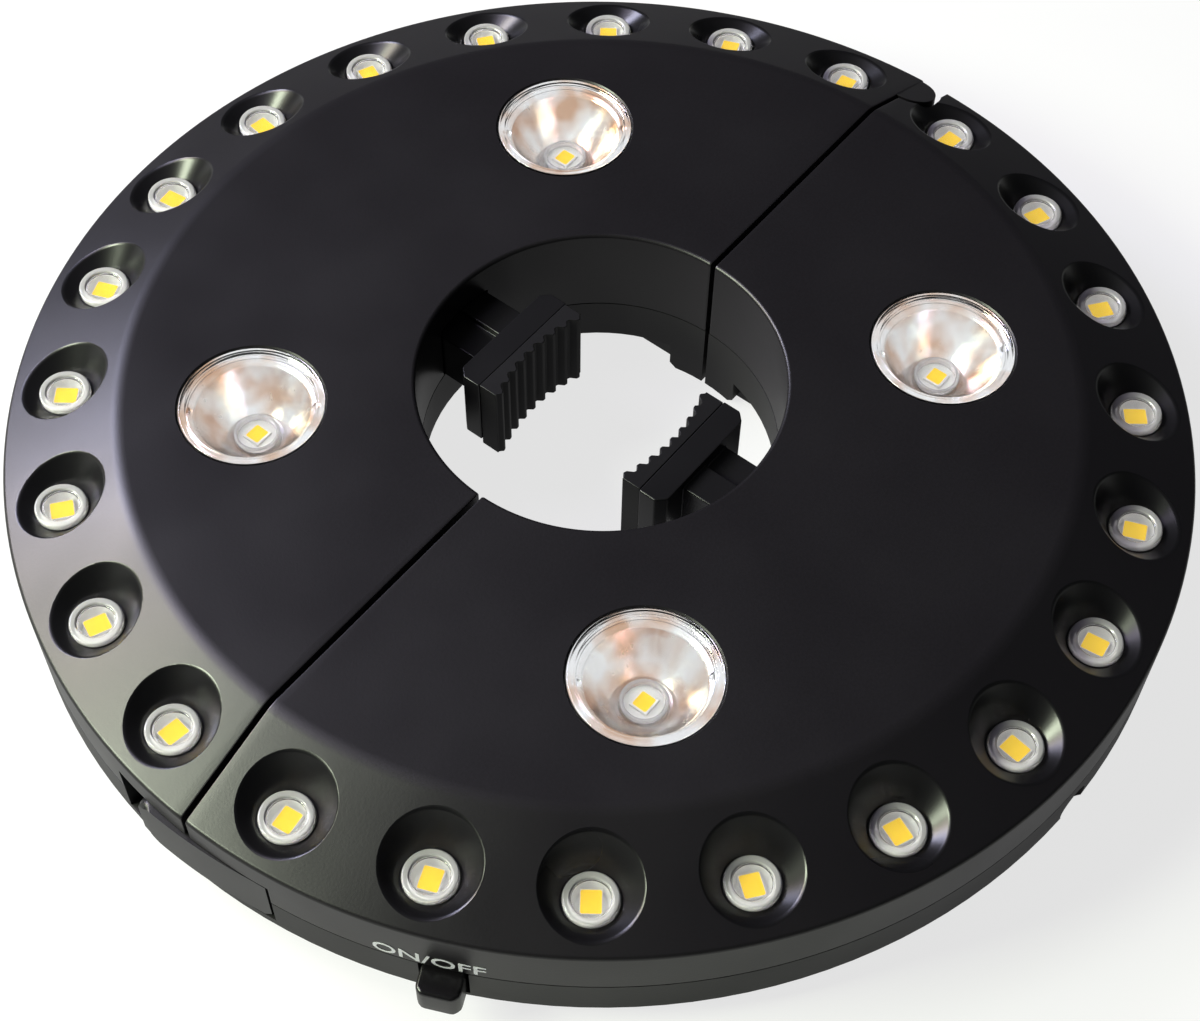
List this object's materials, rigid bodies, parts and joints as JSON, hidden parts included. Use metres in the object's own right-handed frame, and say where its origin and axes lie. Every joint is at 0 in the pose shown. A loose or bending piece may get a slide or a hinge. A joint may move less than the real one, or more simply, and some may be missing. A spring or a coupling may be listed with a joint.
{
  "type": "patio umbrella light",
  "caption": "Round black clip-on light for an umbrella pole: two hinged half rings with small lamps round a sloping margin, spot lamps in the flat face, spring clamps, latch and button.",
  "frame": {"origin": "centre of the pole opening on the surface that the back's bays rest on", "axes": "+Z along the pole, out of the lamp face; +X to the hinge, -X to the latch; +Y to the half that carries the catch"},
  "size_m": [0.2007, 0.2, 0.0325],
  "materials": {
    "face_plastic": "matte",
    "back_plastic": "satin",
    "holder_plastic": "satin",
    "button_plastic": "satin",
    "white_plastic": "satin",
    "jaw_rubber": "matte",
    "clear_plastic": "clear",
    "metallized_plastic": "bright",
    "lamp_package": "satin",
    "circuit_board": "satin",
    "spring_steel": "brushed",
    "contact_steel": "bright",
    "cell_case": "gloss"
  },
  "bodies": {
    "switch_half": {"switch_front_shell": "face_plastic", "switch_back_shell": "back_plastic", "switch_lamp_board": "circuit_board", "switch_small_leds": "lamp_package", "switch_small_lenses": "clear_plastic", "switch_spot_leds": "lamp_package", "switch_reflectors": "metallized_plastic", "switch_spot_covers": "clear_plastic", "switch_clamp_spring": "spring_steel", "switch_cells": "cell_case", "switch_contacts": "contact_steel", "switch_screws": "spring_steel", "tact_switch": "white_plastic", "latch_pin": "spring_steel"},
    "keeper_half": {"keeper_front_shell": "face_plastic", "keeper_back_shell": "back_plastic", "keeper_lamp_board": "circuit_board", "keeper_small_leds": "lamp_package", "keeper_small_lenses": "clear_plastic", "keeper_spot_leds": "lamp_package", "keeper_reflectors": "metallized_plastic", "keeper_spot_covers": "clear_plastic", "keeper_clamp_spring": "spring_steel", "keeper_cells": "cell_case", "keeper_contacts": "contact_steel", "keeper_screws": "spring_steel", "hinge_pin": "spring_steel"},
    "latch": {"latch_lever": "holder_plastic"},
    "power_switch": {"power_button": "button_plastic", "button_plunger": "white_plastic"},
    "switch_clamp": {"switch_clamp_slider": "holder_plastic", "switch_clamp_rubber": "jaw_rubber"},
    "keeper_clamp": {"keeper_clamp_slider": "holder_plastic", "keeper_clamp_rubber": "jaw_rubber"},
    "switch_door": {"switch_battery_door": "back_plastic"},
    "keeper_door": {"keeper_battery_door": "back_plastic"},
    "switch_hanger": {"switch_hook": "holder_plastic"},
    "keeper_hanger": {"keeper_hook": "holder_plastic"}
  },
  "joints": [
    {"name": "main_hinge", "type": "hinge", "parent": "switch_half", "child": "keeper_half", "pos_m": [0.0945, 0, 0.0145], "axis": [0, 0, -1], "range_deg": [0, 75]},
    {"name": "latch_turn", "type": "hinge", "parent": "switch_half", "child": "latch", "pos_m": [-0.0952, -0.0118, 0.01385], "axis": [0, 0, 1], "range_deg": [0, 35]},
    {"name": "power_press", "type": "slide", "parent": "switch_half", "child": "power_switch", "axis": [0.9063, 0.4226, 0], "range_m": [0, 0.0015], "stiffness_N_per_m": 300, "springref_m": -0.001},
    {"name": "switch_clamp_slide", "type": "slide", "parent": "switch_half", "child": "switch_clamp", "axis": [0, -1, 0], "range_m": [0, 0.007], "stiffness_N_per_m": 450, "springref_m": -0.004, "deforming": ["switch_clamp_spring"]},
    {"name": "keeper_clamp_slide", "type": "slide", "parent": "keeper_half", "child": "keeper_clamp", "axis": [0, 1, 0], "range_m": [0, 0.007], "stiffness_N_per_m": 450, "springref_m": -0.004, "deforming": ["keeper_clamp_spring"]},
    {"name": "switch_door_lift", "type": "slide", "parent": "switch_half", "child": "switch_door", "axis": [0, 0, -1], "range_m": [0, 0.02]},
    {"name": "keeper_door_lift", "type": "slide", "parent": "keeper_half", "child": "keeper_door", "axis": [0, 0, -1], "range_m": [0, 0.02]},
    {"name": "switch_hook_fold", "type": "hinge", "parent": "switch_half", "child": "switch_hanger", "pos_m": [-0.04, -0.012, 0.0023], "axis": [0, -1, 0], "range_deg": [0, 90]},
    {"name": "keeper_hook_fold", "type": "hinge", "parent": "keeper_half", "child": "keeper_hanger", "pos_m": [-0.04, 0.012, 0.0023], "axis": [0, -1, 0], "range_deg": [0, 90]}
  ]
}
